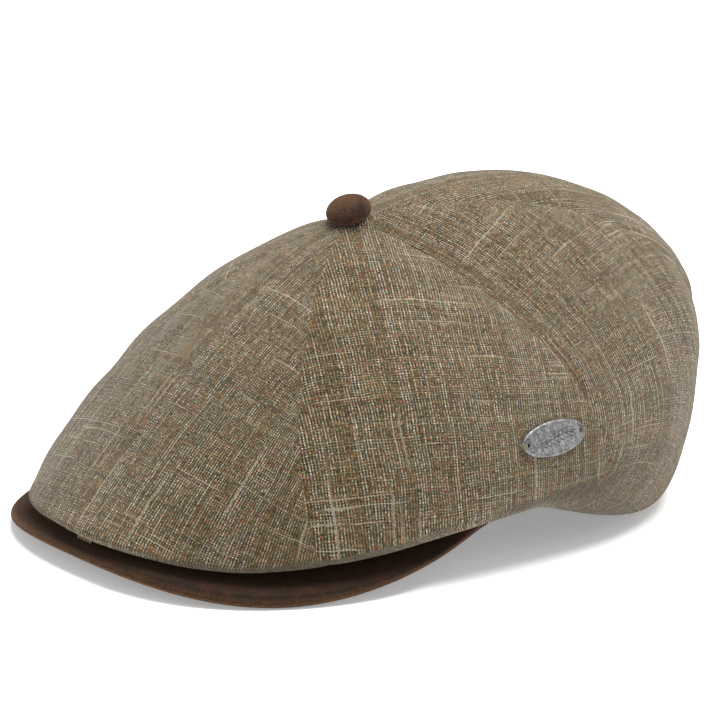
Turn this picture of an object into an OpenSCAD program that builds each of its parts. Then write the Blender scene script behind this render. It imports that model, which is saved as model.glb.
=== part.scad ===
// Newsboy cap. Six cloth gores meet under a covered button and fold over a stiffened visor.
// Inside are a lining, a sweatband, the visor's board and the hidden parts of the button.
// Millimetres, +Z up. The visor points along -Y and the wearer's left side is +X.
// A direction is an angle about the button: 0 is the front, 90 the wearer's left, 180 the back.
// A height along a gore is u: 0 at the button, 1 at the widest bulge, 2 at the hem.

/* [Head opening] */
// Half the width of the head opening at the hem
opening_half_w = 84; // [80:1:88]
// Half the length of the head opening at the hem
opening_half_l = 100; // [96:1:104]
// Height of the hem above the table beside the visor, before the arch is added
hem_front_z = 15; // [13:0.5:16]
// Height of the hem above the table at the side
hem_side_z = 25; // [23:0.5:26]
// Extra height of the hem at the middle of the visor
hem_arch = 5; // [4:0.5:6]
// How far the hem and the fold above it dip on either side of the visor's middle
front_dip = 5; // [3:0.5:6]

/* [Crown] */
// Half the width of the crown at its widest bulge
crown_half_w = 91; // [90:1:98]
// Reach of the crown forward of the middle of the head opening
crown_front = 158; // [152:1:160]
// Reach of the crown behind the middle of the head opening
crown_back = 125; // [120:1:130]
// How far forward of the head opening's middle the button sits
button_forward = 31; // [26:0.5:34]
// Height of the cloth at the button
crown_top_z = 116; // [110:1:122]
// Height of the fold at the front, before the arch is added
bulge_front_z = 12; // [11:0.5:15]
// Height of the widest bulge at the side
bulge_side_z = 31; // [29:1:38]
// Height of the widest bulge at the back
bulge_back_z = 78; // [68:1:84]
// Extra height of the fold at the middle of the front
bulge_arch = 12; // [11:0.5:15]
// Rise of the crown behind the button, half way to the back
back_rise = 8.5; // [4:0.5:12]
// How far the front seams swing outward between the button and the fold, in degrees
gore_fan = 25; // [10:1:26]

/* [Cloth] */
// Thickness of the crown's cloth with its fused backing
cloth_t = 1.2; // [0.8:0.1:1.5]
// Thickness of the lining
lining_t = 0.4; // [0.3:0.1:0.6]

/* [Visor] */
// Half the width that the visor's outer edge would reach without its rounded ends
visor_half_w = 88; // [86:1:89]
// Reach of the visor forward of the middle of the head opening
visor_front = 160.5; // [160:0.5:168]
// Thickness of the board inside the visor
board_t = 2.6; // [1.8:0.2:3]
// Thickness of the suede on each side of the board
suede_t = 1.0; // [0.7:0.1:1.2]
// How much higher the middle of the visor's edge stands than its sides
visor_arch = 13.2; // [10:0.2:14]

/* [Sweatband] */
// Height of the sweatband
band_h = 30; // [24:1:36]
// Thickness of the sweatband
band_t = 1.0; // [0.8:0.1:1.4]

/* [Button] */
// Diameter of the covered button
button_d = 17; // [16:0.5:20]
// Height of the covered button
button_h = 7.4; // [7:0.2:9]

/* [Badge] */
// Length of the oval badge
badge_l = 31; // [28:1:36]
// Width of the oval badge
badge_w = 12.5; // [11:0.5:16]
// Thickness of the badge
badge_t = 1.2; // [0.8:0.1:1.6]

/* [Hidden] */

// Seams between the gores, as directions at the button
seam_front = 29;
seam_side = 96;
seam_back = 151;
front_gore = [-seam_front, seam_front];
front_left_gore = [seam_front, seam_side];
rear_left_gore = [seam_side, seam_back];
back_gore = [seam_back, 360 - seam_back];
rear_right_gore = [360 - seam_back, 360 - seam_side];
front_right_gore = [-seam_side, -seam_front];

// Outline of the head opening: square_hem is 2 for an ellipse, egg_shape widens its rear
square_hem = 2.12;
egg_shape = 0.054;
hem_fall_from = 84;
hem_flat_from = 174;

// Shape of the crown: how square its outline is, how full and how round each meridian is
widest_y = 4.5;
square_front = 2.28;
square_back = 2.1;
full_front = 1.4;
full_side = 1.35;
full_back = 2.5;
round_front = 1.08;
round_side = 1.85;
round_back = 1.95;
tuck_front = 4;
tuck_side = 2.4;
tuck_back = 2;
spread = 1.2;

// A layer is [inset of the bulge, rise of the hem, hem's shift outward, drop of the top]
CROWN = [0, 0, 0, 0];
LINING = [3, 2.6, 1.4, 6];

// Points down a gore, above and below its bulge, and across it
gore_rows = 16;
tuck_rows = 7;
gore_cols = 8;
pole_u = 0.03;
lining_pole_u = 0.012;

// Visor: where its root ends on the hem and how its outer edge runs
visor_span = 70;
visor_end_y = -28.3;
visor_square = 2.63;
visor_end_rise = 15.5;
visor_end_curve = 2.84;
visor_end_tuck = 11.9;
visor_tuck_curve = 11.5;
visor_drop = 0.3;
visor_cols = 28;
visor_t = board_t + 2*suede_t;
board_reach = 0.96;
board_ends = 0.98;
fit_gap = 0.05;

// The visor's outer edge is rounded from round_from of its reach, and thins toward its ends
round_from = 0.94;
edge_lip = 0.2;
end_thinning = 0.65;
end_thinning_curve = 10;

// Where the badge sits on the front left gore
badge_a = 79.6;
badge_u = 0.82;
badge_turn = 2;
badge_clear = 0.35;

// The button leans forward with the top of the crown, and its front edge just clears the cloth
button_lean = 20;
button_lift = 1.2;
cover_t = 0.8;
button_shell_t = 0.6;
rivet_r = 1.5;

// Thread radius, and the clearance between layers that lie on each other
thread_r = 0.3;
gap = 0.1;

linen = [0.47, 0.43, 0.34];
suede = [0.24, 0.18, 0.15];
dark_cloth = [0.2, 0.17, 0.15];
pale = [0.85, 0.83, 0.78];
metal = [0.62, 0.62, 0.62];

// The cap stands on the back of its hem and on the two sides of its visor
pitch = 1.72;

function unit(v) = v/norm(v);
function mix(a, b, t) = a + (b - a)*t;
function steps(a, b, n) = [for (i = [0:n]) mix(a, b, i/n)];
function signed_power(v, e) = sign(v)*pow(abs(v), e);
function share_front(a) = pow(max(cos(a), 0), 2);
function share_back(a) = pow(max(-cos(a), 0), 2);
function by_direction(a, front, side, back) =
  side + share_front(a)*(front - side) + share_back(a)*(back - side);
function arched(a, rise) = rise*pow(max(cos(a), 0), 4) - (cos(a) > 0 ? front_dip*pow(sin(2*a), 2) : 0);

// Directions drift toward the side between the button and the fold, in the front half only
function fanned(a, u) = abs(a) < 90 ? a + gore_fan*pow(min(u, 1), 0.75)*sin(2*a) : a;

// The hem falls to the table behind the side
function hem_z(a) =
  let (turn = 90 - asin(cos(a)),
       fall = min(max((turn - hem_fall_from)/(hem_flat_from - hem_fall_from), 0), 1))
  hem_side_z*pow(1 - fall, 3) + share_front(a)*(hem_front_z - hem_side_z) + arched(a, hem_arch);
function hem_point(a, out) =
  let (e = cos(a) > 0 ? 1 : 2/square_hem)
  [(opening_half_w + out)*signed_power(sin(a), e)*(1 - egg_shape*cos(a)),
   -(opening_half_l + out)*signed_power(cos(a), e), hem_z(a)];

function bulge_point(a, inset) =
  let (front = cos(a) > 0,
       e = 2/(front ? square_front : square_back),
       reach = (front ? crown_front + widest_y : crown_back - widest_y) - inset)
  [(crown_half_w - inset)*signed_power(sin(a), e), widest_y - reach*signed_power(cos(a), e),
   by_direction(a, bulge_front_z, bulge_side_z, bulge_back_z) + arched(a, bulge_arch)];

// The upper part of a sheet, from the button out to the bulge
function upper_point(a, u, layer) =
  let (edge = bulge_point(a, layer[0]),
       across = pow(sin(90*u), spread),
       full = by_direction(a, full_front, full_side, full_back),
       rounding = by_direction(a, round_front, round_side, round_back),
       height = pow(max(1 - pow(across, full), 0), 1/rounding),
       rise = 4*across*(1 - across)*back_rise*share_back(a))
  [edge.x*across, mix(-button_forward, edge.y, across),
   mix(edge.z, crown_top_z - layer[3], height) + rise];

// The lower part, from the bulge down and in to the hem
function lower_point(a, u, layer) =
  let (edge = bulge_point(a, layer[0]),
       hem = hem_point(a, layer[2]),
       e = 2/by_direction(a, tuck_front, tuck_side, tuck_back),
       out = pow(max(cos(90*(u - 1)), 0), e),
       down = pow(max(sin(90*(u - 1)), 0), e))
  [mix(hem.x, edge.x, out), mix(hem.y, edge.y, out), mix(edge.z, hem.z + layer[1], down)];

function sheet_point(a, u, layer) =
  let (d = fanned(a, u))
  u <= 1 ? upper_point(d, u, layer) : lower_point(d, u, layer);

// Outward normal, from the sheet's slopes along and across a gore
function sheet_normal(a, u, layer) =
  let (du = 0.004,
       da = 0.4,
       along = sheet_point(a, min(u + du, 2), layer) - sheet_point(a, max(u - du, 0), layer),
       across = sheet_point(a + da, u, layer) - sheet_point(a - da, u, layer))
  unit(cross(along, across));

function layer_point(a, u, layer, depth) =
  sheet_point(a, u, layer) - depth*sheet_normal(a, u, layer);

// Everything is worked out about the head opening, with the hem's back at height 0. The cap then
// pitches forward until its visor meets the table, and moves so that the middle of its box is at 0.
function pitched_y(p) = p.y*cos(pitch) - p.z*sin(pitch);
function pitched_z(p) = p.y*sin(pitch) + p.z*cos(pitch);
back_y = max([for (u = steps(0.9, 1.4, 50)) pitched_y(sheet_point(180, u, CROWN))]);
front_y = pitched_y(visor_edge(0));
table_z = min([for (a = [140:2:180]) pitched_z(hem_point(a, 0))]);

module placed() {
  translate([0, -(back_y + front_y)/2, -table_z])
    rotate([pitch, 0, 0])
      children();
}

// Closed solid between two grids of points that have the same rows and columns
module shell(front, back) {
  rows = len(front);
  cols = len(front[0]);
  far = rows*cols;
  last = far - cols;
  cells = [for (r = [0:rows - 2], c = [0:cols - 2]) r*cols + c];
  sides = [for (r = [0:rows - 2]) r*cols];
  ends = [0:cols - 2];
  points = concat([for (row = front, p = row) p], [for (row = back, p = row) p]);
  faces = concat(
    [for (i = cells) [i, i + 1, i + cols + 1]],
    [for (i = cells) [i, i + cols + 1, i + cols]],
    [for (i = cells) [far + i, far + i + cols + 1, far + i + 1]],
    [for (i = cells) [far + i, far + i + cols, far + i + cols + 1]],
    [for (c = ends) [c, far + c + 1, c + 1]],
    [for (c = ends) [c, far + c, far + c + 1]],
    [for (c = ends) [last + c, last + c + 1, far + last + c + 1]],
    [for (c = ends) [last + c, far + last + c + 1, far + last + c]],
    [for (i = sides) [i, i + cols, far + i + cols]],
    [for (i = sides) [i, far + i + cols, far + i]],
    [for (i = sides) let (j = i + cols - 1) [j, far + j + cols, j + cols]],
    [for (i = sides) let (j = i + cols - 1) [j, far + j, far + j + cols]]);
  polyhedron(points, faces, convexity = 6);
}

module gore(span, layer, depth, t, heights) {
  directions = steps(span[0], span[1], gore_cols);
  placed()
    shell([for (u = heights) [for (a = directions) layer_point(a, u, layer, depth)]],
          [for (u = heights) [for (a = directions) layer_point(a, u, layer, depth + t)]]);
}

function gore_heights(pole) =
  concat(steps(pole, 1, gore_rows), [for (i = [1:tuck_rows]) 1 + i/tuck_rows]);

module crown_panel(span) {
  color(linen)
    gore(span, CROWN, 0, cloth_t, gore_heights(pole_u));
}

module lining_panel(span) {
  color(dark_cloth)
    gore(span, LINING, 0, lining_t, gore_heights(lining_pole_u));
}

// A fused stiffener behind the front gore, from under the button to above the fold
module front_interlining() {
  seam_clear = 2;
  interlining_t = 0.5;
  heights = steps(0.16, 0.9, 12);
  color(pale)
    gore([-seam_front + seam_clear, seam_front - seam_clear], CROWN, cloth_t + gap, interlining_t, heights);
}

// Visor: w runs across from -1, its right end, to 1, and v from its root at 0 to its edge at 1
function visor_root(w) = hem_point(w*visor_span, 0) - [0, 0, visor_drop];
function visor_edge(w) =
  let (e = 2/visor_square)
  [visor_half_w*signed_power(sin(90*w), e) - visor_end_tuck*signed_power(w, visor_tuck_curve),
   visor_end_y - (visor_front + visor_end_y)*pow(max(cos(90*w), 0), e),
   visor_t + visor_arch*pow(max(cos(90*w), 0), 3)
   + visor_end_rise*pow(abs(w), visor_end_curve)];
function visor_taper(w) = 1 - end_thinning*pow(abs(sin(90*w)), end_thinning_curve);
function visor_point(w, v, depth) =
  mix(visor_root(w), visor_edge(w), v) - [0, 0, depth*visor_taper(w)];

// The visor's edge is rounded: how far each face falls in the last part of its reach
function edge_fall(v) =
  let (turn = (v - round_from)/(1 - round_from))
  v < round_from ? 0 : (visor_t/2 - edge_lip)*(1 - sqrt(max(1 - turn*turn, 0)));
function beside_board(w, v) = v <= board_reach && abs(w) <= board_ends;
function cover_depth(w, v) = beside_board(w, v) ? suede_t : visor_t/2 - fit_gap;

cover_w = concat([-1], steps(-board_ends, board_ends, visor_cols), [1]);
cover_v = concat(steps(0, 0.8, 4), [0.9, board_reach, board_reach + 0.006, 0.98, 0.992, 1]);

module visor_top_cover() {
  color(suede)
    placed()
      shell([for (v = cover_v) [for (w = cover_w) visor_point(w, v, edge_fall(v))]],
            [for (v = cover_v) [for (w = cover_w) visor_point(w, v, cover_depth(w, v))]]);
}

module visor_under_cover() {
  color(suede)
    placed()
      shell([for (v = cover_v) [for (w = cover_w) visor_point(w, v, visor_t - cover_depth(w, v))]],
            [for (v = cover_v) [for (w = cover_w) visor_point(w, v, visor_t - edge_fall(v))]]);
}

module visor_board() {
  reach = steps(0.01, board_reach - 0.005, 5);
  across = steps(0.005 - board_ends, board_ends - 0.005, visor_cols);
  color(pale)
    placed()
      shell([for (v = reach) [for (w = across) visor_point(w, v, suede_t + fit_gap)]],
            [for (v = reach) [for (w = across) visor_point(w, v, visor_t - suede_t - fit_gap)]]);
}

// Thread bars that hold the front of the crown down on the visor
module front_tack() {
  bar_pitch = 1.6;
  bar_r = 0.5;
  at = sheet_point(0, 1.35, CROWN);
  root = visor_root(0);
  edge = visor_edge(0);
  visor_z = mix(root.z, edge.z, (at.y - root.y)/(edge.y - root.y));
  color(linen)
    placed()
      for (x = [-2:2])
        translate([x*bar_pitch, at.y, visor_z + gap])
          cylinder(r = bar_r, h = at.z - visor_z - 5*gap, $fn = 12);
}

// A strip standing on the hem and leaning in: inset from the opening's outline, from low to high
function strip_point(a, inset, z) = hem_point(a, -inset - band_lean*z) + [0, 0, z];
module strip(a0, a1, cols, inset, t, low, high) {
  directions = steps(a0, a1, cols);
  placed()
    shell([for (z = [high, low]) [for (a = directions) strip_point(a, inset, z)]],
          [for (z = [high, low]) [for (a = directions) strip_point(a, inset + t, z)]]);
}

band_inset = 0.4;
band_lean = 0.09;
band_foot = 0.2;
label_t = 0.3;
label_cols = 6;
module sweatband() {
  half_turn = 179.8;
  color(dark_cloth)
    strip(-half_turn, half_turn, 96, band_inset, band_t, band_foot, band_h);
}

module label(a0, a1, low, high) {
  color(pale)
    strip(a0, a1, label_cols, band_inset + band_t + gap, label_t, low, high);
}

module size_label() {
  label(172, 188, 6, 24);
}

module care_label() {
  label(150, 162, 4, 28);
}

// Stitches along the lower edge of the sweatband, on its inner face
module sweatband_stitches() {
  stitch_l = 3.4;
  stitch_z = 2.5;
  step = 6;
  inset = band_inset + band_t + thread_r + gap;
  color(linen)
    placed()
      for (a = [step/2:step:360 - step/2]) {
        p = strip_point(a, inset, stitch_z);
        along = strip_point(a + 1, inset, stitch_z) - strip_point(a - 1, inset, stitch_z);
        translate(p)
          rotate([0, 90 - asin(along.z/norm(along)), atan2(along.y, along.x)])
            cylinder(r = thread_r, h = stitch_l, center = true, $fn = 10);
      }
}

// Button parts are drawn standing on their own base, then lean with the crown's top
module at_button() {
  placed()
    translate([0, -button_forward, crown_top_z + button_lift])
      rotate([button_lean, 0, 0])
        children();
}

// Outline of the button from its axis over the dome to its turned-in rim, at a depth inside it
dome_base = 2.6;
rim_round = 2.4;
function dome(depth) = [for (t = [90:-7.5:0])
  [(button_d/2 - depth)*cos(t), dome_base + (button_h - dome_base - depth)*sin(t)]];
function rim(depth) = [for (t = [-15:-15:-90])
  [button_d/2 - rim_round + (rim_round - depth)*cos(t), dome_base + (dome_base - depth)*sin(t)]];
function reversed(list) = [for (i = [len(list) - 1:-1:0]) list[i]];

module button_skin(depth, t, lip) {
  outer = concat(dome(depth), rim(depth), [[lip, depth]]);
  inner = concat(dome(depth + t), rim(depth + t), [[lip, depth + t]]);
  rotate_extrude($fn = 48)
    polygon(concat(outer, reversed(inner)));
}

module button_cover() {
  lip = button_d/2 - 4.6;
  color(suede)
    at_button()
      button_skin(0, cover_t, lip);
}

module button_shell() {
  lip = button_d/2 - 3.05;
  color(metal)
    at_button()
      button_skin(cover_t + fit_gap, button_shell_t, lip);
}

// A round plate on the button's axis with a hole for the rivet
module riveted_plate(r, t, z) {
  color(metal)
    at_button()
      translate([0, 0, z])
        difference() {
          cylinder(r = r, h = t, $fn = 48);
          translate([0, 0, -1])
            cylinder(r = rivet_r + fit_gap, h = t + 2, $fn = 24);
        }
}

plate_r = button_d/2 - 3;
plate_t = 0.6;
plate_z = cover_t + button_shell_t + 2*fit_gap;
washer_r = 7;
washer_t = 0.8;
// The cloth slopes down under the button, so the washer lies this much below its middle
washer_drop = 3.35;
washer_z = -button_lift - cloth_t - washer_drop;

module button_back_plate() {
  riveted_plate(plate_r, plate_t, plate_z);
}

module button_washer() {
  riveted_plate(washer_r, washer_t, washer_z);
}

module button_rivet() {
  head_r = 3;
  tail_r = 2.6;
  head_z = plate_z + plate_t + fit_gap;
  tail_z = washer_z - fit_gap;
  color(metal)
    at_button()
      rotate_extrude($fn = 24)
        polygon([[0, head_z + 0.9], [head_r - 0.4, head_z + 0.9], [head_r, head_z + 0.5], [head_r, head_z],
                 [rivet_r, head_z], [rivet_r, tail_z], [tail_r, tail_z], [tail_r - 0.2, tail_z - 0.5],
                 [0, tail_z - 0.7]]);
}

// The badge stands on the cloth: its own x runs along it, y up the gore and z out of the cloth
module at_badge() {
  p = sheet_point(badge_a, badge_u, CROWN);
  n = sheet_normal(badge_a, badge_u, CROWN);
  placed()
    translate(p + badge_clear*n)
      rotate([90 - asin(n.z), 0, atan2(n.x, -n.y)])
        rotate([0, 0, badge_turn])
          children();
}

// Radius of the cloth under the badge, from the sag of a chord across it
badge_bend =
  let (a = sheet_point(badge_a - 8, badge_u, CROWN),
       b = sheet_point(badge_a + 8, badge_u, CROWN),
       chord = b - a,
       sag = (sheet_point(badge_a, badge_u, CROWN) - (a + b)/2)*sheet_normal(badge_a, badge_u, CROWN))
  chord*chord/(8*sag);
badge_hole_x = badge_l/2 - 2.4;
badge_hole_r = 0.8;
badge_thread_r = 0.6;

module bent_sheet(r, t) {
  translate([0, 0, -r])
    rotate([90, 0, 0])
      difference() {
        cylinder(r = r + t, h = badge_l, center = true, $fn = 360);
        cylinder(r = r, h = badge_l + 2, center = true, $fn = 360);
      }
}

module badge_plate() {
  color(metal)
    at_badge()
      intersection() {
        bent_sheet(badge_bend, badge_t);
        translate([0, 0, -5])
          linear_extrude(10)
            difference() {
              polygon([for (t = [0:7.5:352.5]) [badge_l/2*cos(t), badge_w/2*sin(t)]]);
              for (side = [-1, 1])
                translate([side*badge_hole_x, 0])
                  circle(r = badge_hole_r, $fn = 20);
            }
      }
}

// One stitch up through each hole of the badge
module badge_threads() {
  sag = badge_hole_x*badge_hole_x/(2*badge_bend);
  color(dark_cloth)
    at_badge()
      for (side = [-1, 1])
        translate([side*badge_hole_x, 0, -sag - badge_clear/2])
          cylinder(r = badge_thread_r, h = badge_t + badge_clear/2 - 2*gap, $fn = 16);
}

crown_panel(front_gore);  // crown_panel_front
crown_panel(front_left_gore);  // crown_panel_front_left
crown_panel(rear_left_gore);  // crown_panel_rear_left
crown_panel(back_gore);  // crown_panel_back
crown_panel(rear_right_gore);  // crown_panel_rear_right
crown_panel(front_right_gore);  // crown_panel_front_right
lining_panel(front_gore);  // lining_panel_front
lining_panel(front_left_gore);  // lining_panel_front_left
lining_panel(rear_left_gore);  // lining_panel_rear_left
lining_panel(back_gore);  // lining_panel_back
lining_panel(rear_right_gore);  // lining_panel_rear_right
lining_panel(front_right_gore);  // lining_panel_front_right
front_interlining();
front_tack();
visor_board();
visor_top_cover();
visor_under_cover();
sweatband();
sweatband_stitches();
size_label();
care_label();
button_cover();
button_shell();
button_back_plate();
button_rivet();
button_washer();
badge_plate();
badge_threads();
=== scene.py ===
"""Newsboy cap: cloth gores, suede visor and button, pewter badge, lining and sweatband.

The shape functions and dimensions follow part.scad. They work in millimetres about the middle
of the head opening, and place() moves their points into the shared frame in metres. What shows
only up close is added here: rolled hems, fullness between seams and cloth gathered at the button.
"""

import math

import bpy
import numpy as np
from mathutils import Matrix, Vector


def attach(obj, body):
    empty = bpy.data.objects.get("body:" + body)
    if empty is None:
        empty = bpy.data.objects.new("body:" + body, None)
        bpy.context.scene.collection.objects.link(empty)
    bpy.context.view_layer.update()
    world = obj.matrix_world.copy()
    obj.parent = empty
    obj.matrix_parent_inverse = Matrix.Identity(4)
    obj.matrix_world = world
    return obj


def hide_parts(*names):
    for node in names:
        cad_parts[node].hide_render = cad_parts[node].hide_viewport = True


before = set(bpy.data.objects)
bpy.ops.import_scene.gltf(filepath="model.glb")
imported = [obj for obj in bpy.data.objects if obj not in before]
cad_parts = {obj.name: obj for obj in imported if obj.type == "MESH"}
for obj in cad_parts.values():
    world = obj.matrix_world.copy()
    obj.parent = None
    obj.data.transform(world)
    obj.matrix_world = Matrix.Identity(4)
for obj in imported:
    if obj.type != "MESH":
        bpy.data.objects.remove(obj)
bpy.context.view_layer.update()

# ---------------------------------------------------------------- dimensions, in millimetres

OPENING_HALF_W, OPENING_HALF_L = 84, 100
HEM_FRONT_Z, HEM_SIDE_Z, HEM_ARCH, FRONT_DIP = 15, 25, 5, 5
SQUARE_HEM, EGG_SHAPE, HEM_FALL_FROM, HEM_FLAT_FROM = 2.12, 0.054, 84, 174
CROWN_HALF_W, CROWN_FRONT, CROWN_BACK = 91, 158, 125
BUTTON_FORWARD, CROWN_TOP_Z = 31, 116
BULGE_FRONT_Z, BULGE_SIDE_Z, BULGE_BACK_Z, BULGE_ARCH = 12, 31, 78, 12
BACK_RISE, GORE_FAN, WIDEST_Y = 8.5, 25, 4.5
SQUARE_FRONT, SQUARE_BACK = 2.28, 2.1
FULL_FRONT, FULL_SIDE, FULL_BACK = 1.4, 1.35, 2.5
ROUND_FRONT, ROUND_SIDE, ROUND_BACK = 1.08, 1.85, 1.95
TUCK_FRONT, TUCK_SIDE, TUCK_BACK = 4, 2.4, 2
SPREAD, PITCH = 1.2, 1.72
CLOTH_T, LINING_T, FOLD_RADIUS = 1.2, 0.4, 1.8
CLOTH_START, LINING_START = 0.03, 0.005
VISOR_HALF_W, VISOR_FRONT, VISOR_END_Y, VISOR_SQUARE = 88, 160.5, -28.3, 2.63
VISOR_T, VISOR_ARCH, VISOR_END_RISE, VISOR_END_CURVE, VISOR_SPAN = 4.6, 13.2, 15.5, 2.84, 70
VISOR_END_TUCK, VISOR_TUCK_CURVE, VISOR_THINNING = 11.9, 11.5, 0.65
VISOR_HANG, VISOR_END_SEAT = 0.3, 1.0
SUEDE_T, FIT_GAP = 1.0, 0.05
BAND_H, BAND_T, BAND_INSET, BAND_LEAN = 30, 1.0, 0.4, 0.09
BUTTON_D, BUTTON_H, BUTTON_LEAN, BUTTON_LIFT = 17, 7.4, 20, 1.2
BADGE_L, BADGE_W, BADGE_T = 31, 12.5, 1.2
BADGE_A, BADGE_U, BADGE_TURN, BADGE_CLEAR = 79.6, 0.82, 2, 0.35
BADGE_HOLE_X, BADGE_HOLE_R = BADGE_L / 2 - 2.4, 0.8

# each cloth layer's inset, rise at the hem, reach outward at the hem and drop at the top
CROWN = (0, 0, 0, 0)
LINING = (3, 2.6, 1.4, 6)
SEAM_FRONT, SEAM_SIDE, SEAM_BACK = 29, 96, 151
GORES = {
    "front": (-SEAM_FRONT, SEAM_FRONT),
    "front_left": (SEAM_FRONT, SEAM_SIDE),
    "rear_left": (SEAM_SIDE, SEAM_BACK),
    "back": (SEAM_BACK, 360 - SEAM_BACK),
    "rear_right": (360 - SEAM_BACK, 360 - SEAM_SIDE),
    "front_right": (-SEAM_SIDE, -SEAM_FRONT),
}


# ---------------------------------------------------------------- the cap's shape


def sin(a):
    return np.sin(np.radians(a))


def cos(a):
    return np.cos(np.radians(a))


def signed_power(v, e):
    """v to the power e, with its sign kept."""
    return np.sign(v) * np.abs(v) ** e


def by_direction(a, front, side, back):
    """A value that changes with direction a from the front, round the side, to the back."""
    share_front = np.maximum(cos(a), 0) ** 2
    share_back = np.maximum(-cos(a), 0) ** 2
    return side + share_front * (front - side) + share_back * (back - side)


def arched(a, rise):
    """How much an edge rises over the forehead and dips to each side of it."""
    dip = np.where(cos(a) > 0, FRONT_DIP * sin(2 * a) ** 2, 0)
    return rise * np.maximum(cos(a), 0) ** 4 - dip


def fanned(a, u):
    """Direction a on a layer, with the front seams spreading as they leave the button."""
    drift = GORE_FAN * np.minimum(u, 1) ** 0.75 * sin(2 * a)
    return np.where(np.abs(a) < 90, a + drift, a)


def hem_z(a):
    """Height of the hem: low at the back, high at the sides and arched at the front."""
    turn = np.degrees(np.arccos(np.clip(cos(a), -1, 1)))
    fall = np.clip((turn - HEM_FALL_FROM) / (HEM_FLAT_FROM - HEM_FALL_FROM), 0, 1)
    share_front = np.maximum(cos(a), 0) ** 2
    return HEM_SIDE_Z * (1 - fall) ** 3 + share_front * (HEM_FRONT_Z - HEM_SIDE_Z) + arched(a, HEM_ARCH)


def hem_point(a, out=0):
    """A point of the egg-shaped hem in direction a, or of the same line this far outside it."""
    e = np.where(cos(a) > 0, 1, 2 / SQUARE_HEM)
    x = (OPENING_HALF_W + out) * signed_power(sin(a), e) * (1 - EGG_SHAPE * cos(a))
    y = -(OPENING_HALF_L + out) * signed_power(cos(a), e)
    return np.stack([x, y, hem_z(a)], -1)


def bulge_point(a, inset):
    """A point of the crown's widest line in direction a, this far inside the cloth's face."""
    front = cos(a) > 0
    e = 2 / np.where(front, SQUARE_FRONT, SQUARE_BACK)
    reach = np.where(front, CROWN_FRONT + WIDEST_Y, CROWN_BACK - WIDEST_Y) - inset
    x = (CROWN_HALF_W - inset) * signed_power(sin(a), e)
    y = WIDEST_Y - reach * signed_power(cos(a), e)
    z = by_direction(a, BULGE_FRONT_Z, BULGE_SIDE_Z, BULGE_BACK_Z) + arched(a, BULGE_ARCH)
    return np.stack([x, y, z], -1)


def sheet_point(a, u, layer):
    """A point of a cloth layer in direction a: u is 0 at the button, 1 at the bulge, 2 at the hem."""
    inset, hem_rise, hem_out, top_drop = layer
    a, u = np.broadcast_arrays(np.asarray(a, float), np.asarray(u, float))
    d = fanned(a, u)
    edge = bulge_point(d, inset)
    hem = hem_point(d, hem_out) + [0, 0, hem_rise]
    across = sin(90 * np.clip(u, 0, 1)) ** SPREAD
    full = by_direction(d, FULL_FRONT, FULL_SIDE, FULL_BACK)
    rounding = by_direction(d, ROUND_FRONT, ROUND_SIDE, ROUND_BACK)
    height = np.maximum(1 - across**full, 0) ** (1 / rounding)
    rise = 4 * across * (1 - across) * BACK_RISE * np.maximum(-cos(d), 0) ** 2
    upper = np.stack(
        [
            edge[..., 0] * across,
            (edge[..., 1] + BUTTON_FORWARD) * across - BUTTON_FORWARD,
            edge[..., 2] + (CROWN_TOP_Z - top_drop - edge[..., 2]) * height + rise,
        ],
        -1,
    )
    e = 2 / by_direction(d, TUCK_FRONT, TUCK_SIDE, TUCK_BACK)
    below = 90 * np.clip(u - 1, 0, 1)
    out = np.maximum(cos(below), 0) ** e
    down = np.maximum(sin(below), 0) ** e
    share = np.stack([1 - out, 1 - out, down], -1)
    lower = edge + (hem - edge) * share
    return np.where((u > 1)[..., None], lower, upper)


def unit(v):
    return v / np.linalg.norm(v, axis=-1, keepdims=True)


def sheet_normal(a, u, layer):
    """The layer's outward normal, from its points a short step to each side."""
    step_u, step_a = 0.004, 0.4
    below, above = np.minimum(u + step_u, 2), np.maximum(u - step_u, 0)
    along = sheet_point(a, below, layer) - sheet_point(a, above, layer)
    across = sheet_point(a + step_a, u, layer) - sheet_point(a - step_a, u, layer)
    return unit(np.cross(along, across))


def visor_root(w):
    """Where the visor is sewn: just under the hem, and into the hem's edge towards its ends."""
    root = hem_point(w * VISOR_SPAN)
    root[..., 2] += VISOR_END_SEAT * np.abs(w) ** 3 - VISOR_HANG
    return root


def visor_edge(w):
    """The visor's outer edge, with w from -1 to 1 across it."""
    e = 2 / VISOR_SQUARE
    c = np.maximum(cos(90 * w), 0)
    x = VISOR_HALF_W * signed_power(sin(90 * w), e) - VISOR_END_TUCK * signed_power(w, VISOR_TUCK_CURVE)
    y = VISOR_END_Y - (VISOR_FRONT + VISOR_END_Y) * c**e
    z = VISOR_T + VISOR_ARCH * c**3 + VISOR_END_RISE * np.abs(w) ** VISOR_END_CURVE
    return np.stack([x, y, z], -1)


def visor_taper(w):
    """The share of the visor's thickness that is left towards its ends."""
    return 1 - VISOR_THINNING * np.abs(sin(90 * w)) ** 10


def pitched(p):
    """Millimetres about the head opening, tipped forward as the cap stands."""
    y = p[..., 1] * cos(PITCH) - p[..., 2] * sin(PITCH)
    z = p[..., 1] * sin(PITCH) + p[..., 2] * cos(PITCH)
    return np.stack([p[..., 0], y, z], -1)


# the shared frame has the cap's bounding box about x = y = 0, standing on the table
BACK_Y = pitched(sheet_point(180, np.linspace(0.9, 1.4, 51), CROWN))[:, 1].max()
FRONT_Y = pitched(visor_edge(0.0))[1]
TABLE_Z = pitched(hem_point(np.arange(140.0, 182.0, 2)))[:, 2].min()
SHIFT = np.array([0, -(BACK_Y + FRONT_Y) / 2, -TABLE_Z])


def place(p):
    """Millimetres about the head opening to metres in the shared frame."""
    return (pitched(np.asarray(p, float)) + SHIFT) / 1000


# ---------------------------------------------------------------- meshes


SHARP_FROM = math.radians(50)


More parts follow.
